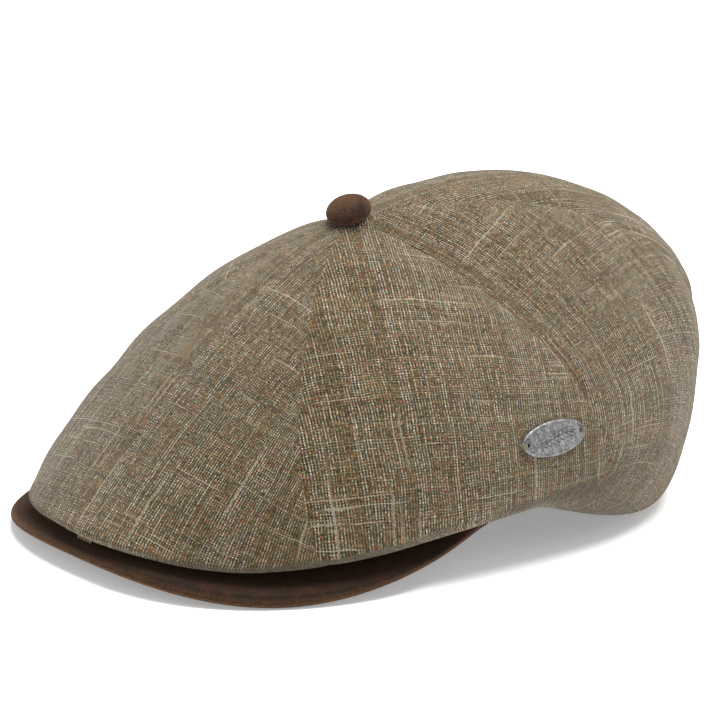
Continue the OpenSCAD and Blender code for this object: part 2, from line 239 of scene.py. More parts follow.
def new_mesh(name, points, faces, material, uv=None):
    """An object from points in metres; uv gives each point its place on the flat cloth, in metres."""
    mesh = bpy.data.meshes.new(name)
    mesh.from_pydata(points.reshape(-1, 3).tolist(), [], faces)
    mesh.validate()
    mesh.polygons.foreach_set("use_smooth", [True] * len(mesh.polygons))
    mesh.set_sharp_from_angle(angle=SHARP_FROM)
    if uv is not None:
        corners = np.zeros(len(mesh.loops), int)
        mesh.loops.foreach_get("vertex_index", corners)
        layer = mesh.uv_layers.new(name="cloth")
        layer.data.foreach_set("uv", uv.reshape(-1, 2)[corners].astype(np.float32).ravel())
    mesh.materials.append(material)
    mesh.update()
    obj = bpy.data.objects.new(name, mesh)
    bpy.context.scene.collection.objects.link(obj)
    return obj


def paint(obj, name, values):
    """A number at each vertex that materials read as the attribute called name."""
    attribute = obj.data.attributes.new(name, "FLOAT", "POINT")
    attribute.data.foreach_set("value", np.asarray(values, np.float32).ravel())


def grid_faces(rows, cols, wrap_rows=False, wrap_cols=False):
    """Faces of four corners between the points of a grid, which may close on itself."""
    faces = []
    for r in range(rows if wrap_rows else rows - 1):
        for c in range(cols if wrap_cols else cols - 1):
            r1, c1 = (r + 1) % rows, (c + 1) % cols
            faces.append((r * cols + c, r1 * cols + c, r1 * cols + c1, r * cols + c1))
    return faces


def tube_faces(rows, cols):
    """Faces of a tube of rows rings, each of cols points, with both ends closed."""
    last = (rows - 1) * cols
    ends = [tuple(range(cols - 1, -1, -1)), tuple(range(last, last + cols))]
    return grid_faces(rows, cols, wrap_cols=True) + ends


def shell(name, outer, inner, material, uv=None, rim=5):
    """A closed skin between two grids of points, with a round rim of rim rows along their last row."""
    middle = (outer[-1] + inner[-1]) / 2
    half = (outer[-1] - inner[-1]) / 2
    outward = unit(outer[-1] - outer[-2]) * np.linalg.norm(half, axis=-1, keepdims=True)
    turns = np.linspace(0, 180, rim + 2)[1:-1]
    rims = [middle + half * cos(t) + outward * sin(t) for t in turns]
    stack = np.concatenate([outer, np.array(rims), inner[::-1]])
    rows, cols = stack.shape[:2]
    last = rows - 1
    faces = grid_faces(rows, cols, wrap_rows=True)
    for r in range(len(outer) - 1):
        near, near1, far, far1 = r * cols, (r + 1) * cols, (last - r) * cols, (last - r - 1) * cols
        faces.append((near, far, far1, near1))
        end = cols - 1
        faces.append((near + end, near1 + end, far1 + end, far + end))
    rim_rows = range(len(outer) - 1, len(outer) + rim + 1)
    faces.append(tuple(r * cols for r in reversed(rim_rows)))
    faces.append(tuple(r * cols + cols - 1 for r in rim_rows))
    if uv is not None:
        uv = np.concatenate([uv, np.repeat(uv[-1:], rim, 0), uv[::-1]])
    return new_mesh(name, place(stack), faces, material, uv)


def lathe(profile, turns, closed=False):
    """Points of a profile of (radius, height) turned about the axis, and their faces."""
    angles = np.linspace(0, 360, turns, endpoint=False)
    r, z = np.array(profile).T
    points = np.stack(
        [
            r[:, None] * cos(angles),
            r[:, None] * sin(angles),
            np.repeat(z[:, None], turns, 1),
        ],
        -1,
    )
    faces = tube_faces(len(r), turns) if closed else grid_faces(len(r), turns, wrap_cols=True)
    return points, [face[::-1] for face in faces]


# ---------------------------------------------------------------- the gores


def wobble(p, size, seed):
    """Smooth unevenness from -1 to 1 across the cloth; size is its wavelength in millimetres."""
    total = 0
    for k in range(4):
        turn = seed * 1.7 + k * 2.4
        way = np.array([math.sin(turn), math.cos(turn * 1.3), math.sin(turn * 0.7 + 1)])
        total = total + np.sin((p @ way) * (2 * math.pi / size) * (1 + 0.31 * k) + turn * 5)
    return total / 4


def gore_rows(start, upper, lower):
    """Values of u down a gore: even steps to the bulge, then closer at first below it."""
    top = start + (1 - start) * np.linspace(0, 1, upper)
    return np.concatenate([top, 1 + np.linspace(0, 1, lower)[1:] ** 1.3])


def flat_cloth(points, grain):
    """Each point's place on the flat gore: across from its middle line, and along from the button.

    The cloth is cut with its warp turned from the middle line by grain, in degrees."""
    steps = np.linalg.norm(np.diff(points, axis=1), axis=-1)
    arc = np.concatenate([np.zeros((len(points), 1)), np.cumsum(steps, 1)], 1)
    width = arc[:, -1:]
    middle = np.array(
        [[np.interp(w / 2, s, p[:, k]) for k in range(3)] for s, w, p in zip(arc, width[:, 0], points)]
    )
    down = np.linalg.norm(np.diff(middle, axis=0), axis=-1)
    along = np.concatenate([[0], np.cumsum(down)])
    tangent = unit(np.gradient(middle, axis=0))
    slant = np.einsum("rck,rk->rc", points - middle[:, None], tangent)
    across, down = arc - width / 2, along[:, None] + slant
    turned = [across * cos(grain) + down * sin(grain), down * cos(grain) - across * sin(grain)]
    return arc, width, along, np.stack(turned, -1) / 1000


def rolled(points, values, fold, radius):
    """Values on a grid of points, evened out along its columns within a few radii of row fold."""
    steps = np.linalg.norm(np.diff(points, axis=0), axis=-1)
    run = np.concatenate([np.zeros((1, points.shape[1])), np.cumsum(steps, 0)])
    weight = np.exp(-(((run[:, None] - run[None]) / radius) ** 2)) * np.gradient(run, axis=0)[None]
    mean = np.einsum("ijc,jck->ick", weight, values) / weight.sum(1)[..., None]
    near = np.exp(-(((run - run[fold]) / (3 * radius)) ** 2))[..., None]
    return values + (mean - values) * near


# the cloth's unevenness, in millimetres: how deep each kind is, how long it is and how far it reaches
PUFF, GROOVE, LINING_GROOVE = 0.8, 0.4, 0.25
PUFF_MIDDLE, PUFF_REACH, GROOVE_REACH, FULL_WIDTH = 0.75, 9, 1.5, 40
PUCKER_DEPTH, PUCKER_STEP, PUCKER_DRIFT, PUCKER_REACH = 0.07, 7.3, 11, 4
LONG_DEPTH, LONG_WAVE, SHORT_DEPTH, SHORT_WAVE = 0.6, 62, 0.22, 23
CALM_BY_BADGE, SEAT_REACH = 21, 8


def button_seat(p):
    """How far the gathered tips of the gores stand up, to meet the leaning button's underside."""
    behind = p[..., 1] + BUTTON_FORWARD
    underside = CROWN_TOP_Z + BUTTON_LIFT + behind * math.tan(math.radians(BUTTON_LEAN))
    away = np.hypot(p[..., 0], behind)
    return np.maximum(underside - p[..., 2], 0) * np.exp(-((away / SEAT_REACH) ** 6))


def gore(name, span, layer, thickness, material, puff, groove, start, grain=0, rows=(84, 46), cols=61):
    """One gore: fuller between its seams, drawn in along them, with a soft hem."""
    u = gore_rows(start, *rows)[:, None]
    a = np.linspace(*span, cols)[None]
    base = sheet_point(a, u, layer)
    out = sheet_normal(a + 0 * u, u + 0 * a, layer)
    arc, width, along, uv = flat_cloth(base, grain)
    near = np.minimum(arc, width - arc)
    size = np.clip(width / FULL_WIDTH, 0, 1)
    fade = 1 - np.clip((u - 1) / 0.6, 0, 1)
    seam_run = np.linalg.norm(base - [0, -BUTTON_FORWARD, CROWN_TOP_Z], axis=-1)
    phase = seam_run * 2 * math.pi / PUCKER_STEP + 2.1 * np.sin(seam_run / PUCKER_DRIFT)
    pucker = PUCKER_DEPTH * np.sin(phase) * np.exp(-near / PUCKER_REACH)
    swell = puff * (PUFF_MIDDLE - np.exp(-near / PUFF_REACH))
    drawn_in = groove * np.exp(-((near / GROOVE_REACH) ** 2))
    soft = LONG_DEPTH * wobble(base, LONG_WAVE, 3) + SHORT_DEPTH * wobble(base, SHORT_WAVE, 5)
    badge_away = np.linalg.norm(base - sheet_point(BADGE_A, BADGE_U, CROWN), axis=-1)
    calm = 1 - np.exp(-((badge_away / CALM_BY_BADGE) ** 4))
    rise = (swell - drawn_in + pucker + soft) * size * fade * calm
    outer = base + out * rise[..., None]
    if layer is CROWN:
        outer[..., 2] += button_seat(outer)
    fold = rows[0] - 1
    out = unit(rolled(outer, out, fold, FOLD_RADIUS))
    outer = rolled(outer, outer, fold, FOLD_RADIUS)
    inner = outer - out * thickness
    obj = shell(name, outer, inner, material, uv)
    return obj


# ---------------------------------------------------------------- materials


def linear(*channels):
    """An sRGB colour given as 0 to 255, as a linear colour with alpha."""
    shares = [c / 255 for c in channels]
    return (*[s / 12.92 if s <= 0.04045 else ((s + 0.055) / 1.055) ** 2.4 for s in shares], 1.0)


def grey(share):
    return (share, share, share, 1.0)


class Shader:
    """Short calls that build one material's nodes; every call returns the socket it makes."""

    def __init__(self, name, **fixed):
        self.material = bpy.data.materials.new(name)
        self.material.use_nodes = True
        self.tree = self.material.node_tree
        self.surface = self.tree.nodes["Principled BSDF"]
        for key, value in fixed.items():
            self.surface.inputs[key.replace("_", " ")].default_value = value

    def node(self, kind, output=0, inputs=None, **settings):
        made = self.tree.nodes.new("ShaderNode" + kind)
        for key, value in settings.items():
            setattr(made, key, value)
        for key, value in (inputs or {}).items():
            self.put(made.inputs[key], value)
        return made.outputs[output]

    def put(self, socket, value):
        if isinstance(value, bpy.types.NodeSocket):
            self.tree.links.new(value, socket)
        else:
            socket.default_value = value

    def math(self, operation, *values):
        return self.node("Math", inputs=dict(enumerate(values)), operation=operation)

    def blend(self, first, first_share, second, second_share):
        """The weighted sum of two values."""
        weighted = self.math("MULTIPLY", first, first_share), self.math("MULTIPLY", second, second_share)
        return self.math("ADD", *weighted)

    def scaled(self, value, factor, start):
        return self.math("ADD", self.math("MULTIPLY", value, factor), start)

    def vector(self, x=0.0, y=0.0, z=0.0):
        return self.node("CombineXYZ", inputs={0: x, 1: y, 2: z})

    def noise(self, place, scale=1.0, detail=2.0, rough=0.5):
        return self.node(
            "TexNoise", inputs={"Vector": place, "Scale": scale, "Detail": detail, "Roughness": rough}
        )

    def white(self, place):
        return self.node("TexWhiteNoise", inputs={"Vector": place})

    def ramp(self, value, *stops):
        """A colour that changes evenly between the stops, each a position and a colour."""
        made = self.tree.nodes.new("ShaderNodeValToRGB")
        elements = made.color_ramp.elements
        while len(elements) < len(stops):
            elements.new(0.5)
        for element, (position, colour) in zip(elements, stops):
            element.position = position
            element.color = colour
        self.put(made.inputs[0], value)
        return made.outputs[0]

    def between(self, value, low, high):
        """0 below low and 1 above high."""
        return self.node("MapRange", inputs={0: value, 1: low, 2: high}, interpolation_type="SMOOTHSTEP")

    def mix(self, share, a, b, blend="MIX"):
        made = self.tree.nodes.new("ShaderNodeMix")
        made.data_type = "RGBA"
        made.blend_type = blend
        for index, value in ((0, share), (6, a), (7, b)):
            self.put(made.inputs[index], value)
        return made.outputs[2]

    def cloth_place(self):
        """Across and along the flat cloth, in millimetres."""
        spot = self.node("UVMap", uv_map="cloth")
        split = self.tree.nodes.new("ShaderNodeSeparateXYZ")
        self.put(split.inputs[0], spot)
        across, along = split.outputs[:2]
        return self.math("MULTIPLY", across, 1000.0), self.math("MULTIPLY", along, 1000.0)

    def solid_place(self):
        """The place on the object, in millimetres."""
        spot = self.node("TexCoord", output=3)
        millimetres = {0: spot, 1: (1000.0, 1000.0, 1000.0)}
        return self.node("VectorMath", inputs=millimetres, operation="MULTIPLY")

    def painted(self, name):
        return self.node("Attribute", output=2, attribute_name=name)

    def done(self, colour, height, depth, rough=None):
        """The finished material; its bump is depth metres deep for a height of 1."""
        self.put(self.surface.inputs["Base Color"], colour)
        if rough is not None:
            self.put(self.surface.inputs["Roughness"], rough)
        bump = self.node("Bump", inputs={"Height": height, "Distance": depth, "Strength": 1.0})
        self.put(self.surface.inputs["Normal"], bump)
        return self.material


WARP_PITCH, WEFT_PITCH = 0.56, 0.49
CREAM = linear(194, 190, 177)
STRAW = linear(142, 129, 98)
OLIVE = linear(82, 72, 34)
DARK_OLIVE = linear(44, 38, 16)
RUST = linear(152, 72, 26)
BROWN = linear(92, 62, 30)
NAVY = linear(34, 40, 54)
SLUB = linear(200, 190, 170)
WHITE = grey(1.0)
GAP_SHADE = (0.36, 0.33, 0.28, 1.0)


def linen():
    """Plain weave of cream and olive warp with olive weft, rust and navy flecks, and long pale slubs."""
    s = Shader("slubbed_linen", Roughness=0.9, Sheen_Weight=0.2, Sheen_Roughness=0.45)
    s.surface.inputs["Specular IOR Level"].default_value = 0.2
    s.surface.inputs["Sheen Tint"].default_value = (1.0, 0.98, 0.94, 1.0)
    across, along = s.cloth_place()

    def wander(x, y, apart):
        """Threads run a little off straight: a shift in millimetres."""
        slow = s.math("SUBTRACT", s.noise(s.vector(x, y, apart), 0.05, 1.0), 0.5)
        quick = s.math("SUBTRACT", s.noise(s.vector(x, y, apart + 7), 0.45, 1.0), 0.5)
        return s.blend(slow, 2.2, quick, 0.5)

    warp = s.math("DIVIDE", s.math("ADD", across, wander(across, along, 0.0)), WARP_PITCH)
    weft = s.math("DIVIDE", s.math("ADD", along, wander(along, across, 40.0)), WEFT_PITCH)
    warp_no, weft_no = s.math("FLOOR", warp), s.math("FLOOR", weft)
    warp_round = s.math("SINE", s.math("MULTIPLY", s.math("FRACT", warp), math.pi))
    weft_round = s.math("SINE", s.math("MULTIPLY", s.math("FRACT", weft), math.pi))
    parity = s.math("PINGPONG", s.math("ADD", warp_no, weft_no), 1.0)
    cell = s.white(s.vector(warp_no, weft_no, 3.0))
    warp_tone = s.white(s.vector(warp_no, 11.0))
    weft_tone = s.white(s.vector(weft_no, 23.0))

    def along_thread(tone, run, length, offset, detail=1.0):
        """Unevenness along each thread on its own, over about this length in millimetres."""
        spot = s.vector(s.math("MULTIPLY", tone, 391.0), s.math("DIVIDE", run, length), offset)
        return s.noise(spot, 1.0, detail)

    pale_share = s.blend(warp_tone, 0.3, along_thread(warp_tone, along, 6.0, 5.0, 2.0), 0.7)
    pale_warp = s.ramp(pale_share, (0.22, OLIVE), (0.42, STRAW), (0.72, CREAM))
    dark_warp = s.ramp(
        s.blend(cell, 0.75, warp_tone, 0.25),
        (0.1, DARK_OLIVE), (0.42, OLIVE), (0.58, BROWN), (0.7, RUST), (0.78, OLIVE), (0.9, DARK_OLIVE),
    )
    striped = s.blend(s.math("PINGPONG", warp_no, 1.0), 0.76, warp_tone, 0.24)
    warp_colour = s.mix(s.between(striped, 0.15, 0.85), dark_warp, pale_warp)
    weft_share = s.blend(weft_tone, 0.4, along_thread(weft_tone, across, 8.0, 9.0, 2.0), 0.6)
    weft_colour = s.ramp(weft_share, (0.25, DARK_OLIVE), (0.48, OLIVE), (0.72, STRAW))
    over = s.scaled(parity, 0.6, 0.32)
    colour = s.mix(over, weft_colour, warp_colour)
    spun = s.white(s.vector(warp_no, weft_no, 17.0))
    colour = s.mix(1.0, colour, s.scaled(spun, 1.3, 0.4), "MULTIPLY")
    colour = s.mix(s.math("MULTIPLY", s.between(cell, 0.955, 0.965), 0.8), colour, RUST)
    colour = s.mix(s.between(cell, 0.014, 0.008), colour, NAVY)

    warp_slub = s.between(along_thread(warp_tone, along, 80.0, 31.0), 0.67, 0.74)
    weft_slub = s.between(along_thread(weft_tone, across, 60.0, 47.0), 0.67, 0.72)
    pair_tone = s.white(s.vector(s.math("FLOOR", s.math("MULTIPLY", warp, 0.5)), 57.0))
    wide_slub = s.between(along_thread(pair_tone, along, 45.0, 63.0), 0.78, 0.9)
    broken = s.scaled(parity, 0.45, 0.35)
    colour = s.mix(s.math("MULTIPLY", s.math("MAXIMUM", warp_slub, wide_slub), broken), colour, SLUB)
    colour = s.mix(s.math("MULTIPLY", weft_slub, broken), colour, SLUB)
    cloud = s.noise(s.vector(across, along, 70.0), 0.03, 3.0)
    colour = s.mix(1.0, colour, s.ramp(cloud, (0.3, grey(0.86)), (0.7, WHITE)), "MULTIPLY")
    mottle = s.noise(s.vector(across, along, 90.0), 0.7, 3.0, 0.8)
    colour = s.mix(1.0, colour, s.scaled(mottle, 0.8, 0.52), "MULTIPLY")
    gaps = s.math("MULTIPLY", s.math("POWER", warp_round, 0.5), s.math("POWER", weft_round, 0.4))
    shade = s.ramp(gaps, (0.25, GAP_SHADE), (0.85, WHITE))
    colour = s.mix(0.85, colour, shade, "MULTIPLY")

    warp_up = s.math("MULTIPLY", warp_round, s.scaled(parity, 0.5, 0.5))
    weft_up = s.math("MULTIPLY", weft_round, s.math("SUBTRACT", 0.8, s.math("MULTIPLY", parity, 0.4)))
    height = s.math("MAXIMUM", warp_up, weft_up)
    height = s.math("ADD", height, s.math("MULTIPLY", s.math("MAXIMUM", warp_slub, weft_slub), 0.5))
    return s.done(colour, height, 0.00022)


def suede(name, base, warm, dark, wear_and_highlight, fine=1.0):
    """Napped leather, mottled where the nap lies one way or the other, rubbed pale at the visor's edge,
    and with painted highlight on the button's top.
    """
    s = Shader(name, Roughness=0.95, Sheen_Weight=0.3, Sheen_Roughness=0.42)
    s.surface.inputs["Specular IOR Level"].default_value = 0.12
    s.surface.inputs["Sheen Tint"].default_value = linear(214, 168, 132)
    spot = s.solid_place()
    brushed = s.noise(spot, 0.16, 3.0, 0.6)
    speck = s.noise(spot, 1.1 * fine, 3.0, 0.7)
    hair = s.noise(spot, 3.2 * fine, 2.0, 0.6)
    share = s.blend(brushed, 0.45, speck, 0.55)
    colour = s.ramp(share, (0.36, dark), (0.5, base), (0.64, warm))
    # Paler where the attribute is painted: real wear at the visor's edge, and painted highlight on the
    # top of the button's dome.
    wear_and_highlight_share = s.math("MULTIPLY", s.painted("wear_and_highlight"), s.ramp(speck, (0.3, grey(0.3)), (0.6, WHITE)))
    colour = s.mix(wear_and_highlight_share, colour, wear_and_highlight)
    height = s.math("ADD", hair, s.math("MULTIPLY", speck, 0.7))
    return s.done(colour, height, 0.0003)


def pewter():
    """Dull grey metal, mottled and finely scratched, and dark in its engraved lines."""
    s = Shader("antique_pewter", Metallic=0.85)
    spot = s.solid_place()
    blotch = s.noise(spot, 0.35, 4.0, 0.6)
    fine = s.noise(spot, 5.0, 3.0, 0.6)
    stretched = s.node("Mapping", inputs={"Vector": spot, "Scale": (0.2, 0.2, 2.6)})
    scratch = s.noise(stretched, 1.6, 4.0, 0.7)
    grain = s.noise(spot, 1.3, 3.0, 0.7)
    tone = s.blend(blotch, 0.4, grain, 0.6)
    dark, middle, pale = linear(84, 84, 88), linear(128, 128, 128), linear(176, 176, 172)
    colour = s.ramp(tone, (0.38, dark), (0.5, middle), (0.62, pale))
    colour = s.mix(s.painted("groove"), colour, linear(36, 33, 32))
    rough = s.node("MapRange", inputs={0: scratch, 3: 0.38, 4: 0.62})
    height = s.math("ADD", s.math("MULTIPLY", fine, 0.5), scratch)
    return s.done(colour, height, 0.00006, rough)


def woven(name, base, pale, pitch, depth, sheen=0.2, rough=0.8, rib=1.0):
    """A plain fabric whose threads run along and across its cloth; rib is how strong its ribs are."""
    s = Shader(name, Roughness=rough, Sheen_Weight=sheen)
    s.surface.inputs["Specular IOR Level"].default_value = 0.25
    across, along = s.cloth_place()
    ribs = s.math("ABSOLUTE", s.math("SINE", s.math("MULTIPLY", across, math.pi / pitch)))
    picks = s.math("ABSOLUTE", s.math("SINE", s.math("MULTIPLY", along, math.pi / (pitch * 0.6))))
    uneven = s.noise(s.vector(across, along), 0.3, 3.0)
    share = s.blend(ribs, 0.5 * rib, uneven, 0.5)
    colour = s.ramp(share, (0.2, base), (0.9, pale))
    height = s.blend(ribs, rib, picks, 0.35)
    return s.done(colour, height, depth)


def matt(name, base, pale, grain, depth=0.0001, metal=0.0, rough=0.8):
    """A plain solid with fine grain, for felt, board, thread and pressed metal."""
    s = Shader(name, Roughness=rough, Metallic=metal)
    spot = s.solid_place()
    speck = s.noise(spot, grain, 4.0, 0.6)
    cloud = s.noise(spot, grain / 9, 2.0)
    share = s.blend(speck, 0.6, cloud, 0.4)
    return s.done(s.ramp(share, (0.35, base), (0.65, pale)), speck, depth)


LINEN = linen()
VISOR_SUEDE = suede(
    "visor_suede", linear(33, 24, 20), linear(62, 35, 22), linear(22, 19, 18), linear(86, 62, 42)
)
# The button's fourth colour is a painted highlight, laid on the top of its dome.
BUTTON_SUEDE = suede(
    "button_suede", linear(58, 44, 35), linear(96, 61, 40), linear(31, 27, 25), linear(112, 76, 54), 1.5
)
PEWTER = pewter()
SATIN = woven("lining_satin", linear(62, 54, 48), linear(84, 75, 67), 0.5, 0.00004, 0.3, 0.42, 0.4)
GROSGRAIN = woven("sweatband_grosgrain", linear(46, 42, 40), linear(74, 68, 63), 1.4, 0.0003)
LABEL = woven("label_satin", linear(214, 210, 198), linear(232, 229, 220), 0.45, 0.00005, 0.2, 0.5, 0.5)
TACK_THREAD = matt("linen_thread", linear(128, 116, 92), linear(168, 156, 130), 3.0)
BADGE_THREAD = matt("badge_thread", linear(100, 92, 70), linear(136, 126, 98), 4.0)
FELT = matt("interlining_felt", linear(206, 202, 192), linear(226, 223, 214), 1.5, 0.0003, rough=0.95)
BOARD = matt("visor_board", linear(210, 205, 190), linear(226, 222, 208), 0.6)
STEEL = matt("pressed_steel", linear(168, 168, 170), linear(196, 196, 198), 2.0, 0.00004, 1.0, 0.35)


# ---------------------------------------------------------------- camera, floor and lights

CAMERA_AROUND, CAMERA_UP, CAMERA_ROLL = 46.298, 19.836, 2.224
CAMERA_AWAY = 1367.2
SENSOR = 36.0
LENS = 178.35
SHIFT_X, SHIFT_Y = -0.0559, 0.1931
FLOOR_GLOW, WORLD_LIGHT = 0.3, 0.38
LIGHT_AIM = Vector((0, 0, 0.06))


def look_back():
    """Unit vectors to the camera's right, up and back, about the head opening."""
    a, e = CAMERA_AROUND, CAMERA_UP
    back = np.array([sin(a) * cos(e), -cos(a) * cos(e), sin(e)])
    right = np.array([cos(a), sin(a), 0.0])
    up = np.cross(back, right)
    return right, up, back


def add_camera():
    right, up, back = look_back()
    turned = cos(CAMERA_ROLL) * right + sin(CAMERA_ROLL) * up
    upward = cos(CAMERA_ROLL) * up - sin(CAMERA_ROLL) * right
    axes = [pitched(v) for v in (turned, upward, back)]
    data = bpy.data.cameras.new("camera")
    data.lens = LENS
    data.sensor_width = SENSOR
    data.shift_x = SHIFT_X
    data.shift_y = SHIFT_Y
    data.clip_end = 50
    camera = bpy.data.objects.new("camera", data)
    matrix = Matrix([[*row, 0] for row in np.stack(axes, 1).tolist()] + [[0, 0, 0, 1]])
    matrix.translation = Vector(place(CAMERA_AWAY * back))
    camera.matrix_world = matrix
    bpy.context.scene.collection.objects.link(camera)
    bpy.context.scene.camera = camera


def add_light(name, at, size, power):
    """A round white lamp that faces the cap; size in metres and power in watts."""
    data = bpy.data.lights.new(name, "AREA")
    data.shape = "DISK"
    data.size = size
    data.energy = power
    light = bpy.data.objects.new(name, data)
    light.location = at
    light.rotation_euler = (Vector(at) - LIGHT_AIM).to_track_quat("Z", "Y").to_euler()
    bpy.context.scene.collection.objects.link(light)


def add_stage():
    """A large pale floor, with a white world around it."""
    half = 12.0
    corners = np.array([[-half, -half, 0], [half, -half, 0], [half, half, 0], [-half, half, 0]])
    greyer, paler = linear(246, 246, 245), linear(252, 252, 252)
    floor_material = matt("floor_paper", greyer, paler, 0.02, 0.0, rough=0.9)
    surface = floor_material.node_tree.nodes["Principled BSDF"]
    surface.inputs["Emission Color"].default_value = WHITE
    surface.inputs["Emission Strength"].default_value = FLOOR_GLOW
    floor = new_mesh("floor", corners, [(0, 1, 2, 3)], floor_material)
    world = bpy.data.worlds.new("white_studio")
    world.use_nodes = True
    background = world.node_tree.nodes["Background"]
    background.inputs["Color"].default_value = WHITE
    background.inputs["Strength"].default_value = WORLD_LIGHT
    bpy.context.scene.world = world
    add_light("overhead", (0.0, 0.3, 1.6), 1.4, 50)
    add_light("rear", (0.9, 1.8, 0.5), 1.0, 5)
    add_light("front_right", (-1.0, -1.6, 0.9), 1.2, 5)
    bpy.context.scene.view_settings.view_transform = "Standard"


# ---------------------------------------------------------------- the cap's pieces


def ride(obj, node):
    """Puts a piece on the one body and in place of its CAD node."""
    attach(obj, "root")
    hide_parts(node)


# how far each gore's warp turns from its middle line, in degrees
GRAIN = {"front_left": 12, "front_right": -12, "rear_left": 24, "rear_right": -24}


def make_crown():
    for name, span in GORES.items():
        grain = GRAIN.get(name, 0)
        cloth = gore(f"crown_cloth_{name}", span, CROWN, CLOTH_T, LINEN, PUFF, GROOVE, CLOTH_START, grain)
        ride(cloth, f"crown_panel_{name}")


def make_lining():
    for name, span in GORES.items():
        cloth = gore(
            f"lining_{name}", span, LINING, LINING_T, SATIN, 0, LINING_GROOVE, LINING_START,
            rows=(40, 20), cols=25,
        )
        ride(cloth, f"lining_panel_{name}")


def visor_grid(w, v, depth):
    """Points of the visor at w across it and v from its root to its edge, this deep under its top."""
    root, edge = visor_root(w), visor_edge(w)
    p = root + (edge - root) * v[..., None]
    drop = depth * visor_taper(w)
    return p - np.stack([0 * drop, 0 * drop, drop], -1)


def make_visor():
    """Two suede skins over the board, which meet along a rounded edge."""
    edge_from, edge_run, seam_v, seam_w = 0.94, 0.06, 0.965, 0.985
    worn_from, worn_run, top_wear = 0.975, 0.025, 0.65
    w = np.sin(np.radians(np.linspace(-90, 90, 181))) * 0.35 + np.linspace(-1, 1, 181) * 0.65
    near_edge = 1 - (1 - np.linspace(0, 1, 29)[1:]) ** 2.2
    v = np.concatenate([np.linspace(0, 0.9, 46), 0.9 + 0.1 * near_edge])
    w, v = np.meshgrid(w, v)
    turn = np.clip((v - edge_from) / edge_run, 0, 1)
    fall = (VISOR_T / 2 - 0.06) * (1 - np.sqrt(np.maximum(1 - turn**2, 0)))
    inside = VISOR_T / 2 - 0.05
    from_seams = np.minimum(np.minimum(v, seam_v - v), (seam_w - np.abs(w)) * 2)
    beside = np.clip(from_seams / 0.01, 0, 1)
    depth_in = inside + (SUEDE_T - inside) * beside
    nap = 0.12 * wobble(visor_grid(w, v, 0 * w), 19, 2) * np.clip((edge_from - v) / 0.05, 0, 1)
    top_face, top_back = visor_grid(w, v, fall + nap), visor_grid(w, v, depth_in)
    top = shell("visor_suede_top", top_face, top_back, VISOR_SUEDE, rim=1)
    ride(top, "visor_top_cover")
    under_face, under_back = visor_grid(w, v, VISOR_T - fall), visor_grid(w, v, VISOR_T - depth_in)
    under = shell("visor_suede_under", under_back, under_face, VISOR_SUEDE, rim=1)
    ride(under, "visor_under_cover")
    wear = np.clip((v - worn_from) / worn_run, 0, 1)
    paint(top, "wear_and_highlight", top_wear * np.concatenate([wear, wear[-1:], 0 * wear]))
    paint(under, "wear_and_highlight", np.concatenate([0 * wear, wear[-1:], wear[::-1]]))
    w, v = np.meshgrid(np.linspace(-0.95, 0.95, 121), np.linspace(0.03, 0.9, 24))
    board_top = visor_grid(w, v, SUEDE_T + FIT_GAP + 0 * w)
    board_under = visor_grid(w, v, VISOR_T - SUEDE_T - FIT_GAP + 0 * w)
    board = shell("visor_board_core", board_top, board_under, BOARD, rim=1)
    ride(board, "visor_board")


def at_button(p):
    """From the button's own upright axis to its leaning place on the cap."""
    return p @ turn_x(BUTTON_LEAN).T + [0, -BUTTON_FORWARD, CROWN_TOP_Z + BUTTON_LIFT]


def make_button():
    """Suede drawn over a dome, with small gathers where it turns in under the rim."""
    base, rim, thick, lip = 2.6, 2.4, 0.8, BUTTON_D / 2 - 4.6
    radius = BUTTON_D / 2

    def outline(depth):
        """From the dome's top, round the rim and under to the lip, this deep inside the face."""
        dome = [
            ((radius - depth) * cos(t), base + (BUTTON_H - base - depth) * sin(t))
            for t in np.arange(89.5, -1, -3)
        ]
        turned = [
            (radius - rim + (rim - depth) * cos(t), base + (base - depth) * sin(t))
            for t in np.arange(-5, -91, -5)
        ]
        return dome + turned + [(lip, depth)]

    points, faces = lathe(outline(0) + outline(thick)[::-1], 144, closed=True)
    angle = np.degrees(np.arctan2(points[..., 1], points[..., 0]))
    low = np.clip((base + 0.6 - points[..., 2]) / 3.2, 0, 1)
    gather = 1 + 0.022 * low * np.sin(np.radians(angle * 17)) + 0.008 * np.sin(np.radians(3 * angle))
    points[..., :2] *= gather[..., None]
    button = new_mesh("button_suede_dome", place(at_button(points)), faces, BUTTON_SUEDE)
    # Painted highlight: the top of the dome is painted paler, as if lit from above.
    paint(button, "wear_and_highlight", np.clip((points[..., 2] - 6.2) / 3, 0, 0.35))
    ride(button, "button_cover")


def bake_modifiers(obj):
    """Turns an object's modifiers into its mesh."""
    graph = bpy.context.evaluated_depsgraph_get()
    mesh = bpy.data.meshes.new_from_object(obj.evaluated_get(graph))
    obj.modifiers.clear()
    old, obj.data = obj.data, mesh
    bpy.data.meshes.remove(old)


def turn_x(a):
    return np.array([[1, 0, 0], [0, cos(a), -sin(a)], [0, sin(a), cos(a)]])


def turn_z(a):
    return np.array([[cos(a), -sin(a), 0], [sin(a), cos(a), 0], [0, 0, 1]])


def badge_bend():
    """Radius of the cloth under the badge, from the sag of a chord across it."""
    left, right = (sheet_point(BADGE_A + turn, BADGE_U, CROWN) for turn in (-8, 8))
    normal = sheet_normal(np.float64(BADGE_A), np.float64(BADGE_U), CROWN)
    chord = right - left
    sag = (sheet_point(BADGE_A, BADGE_U, CROWN) - (left + right) / 2) @ normal
    return (chord @ chord) / (8 * sag)


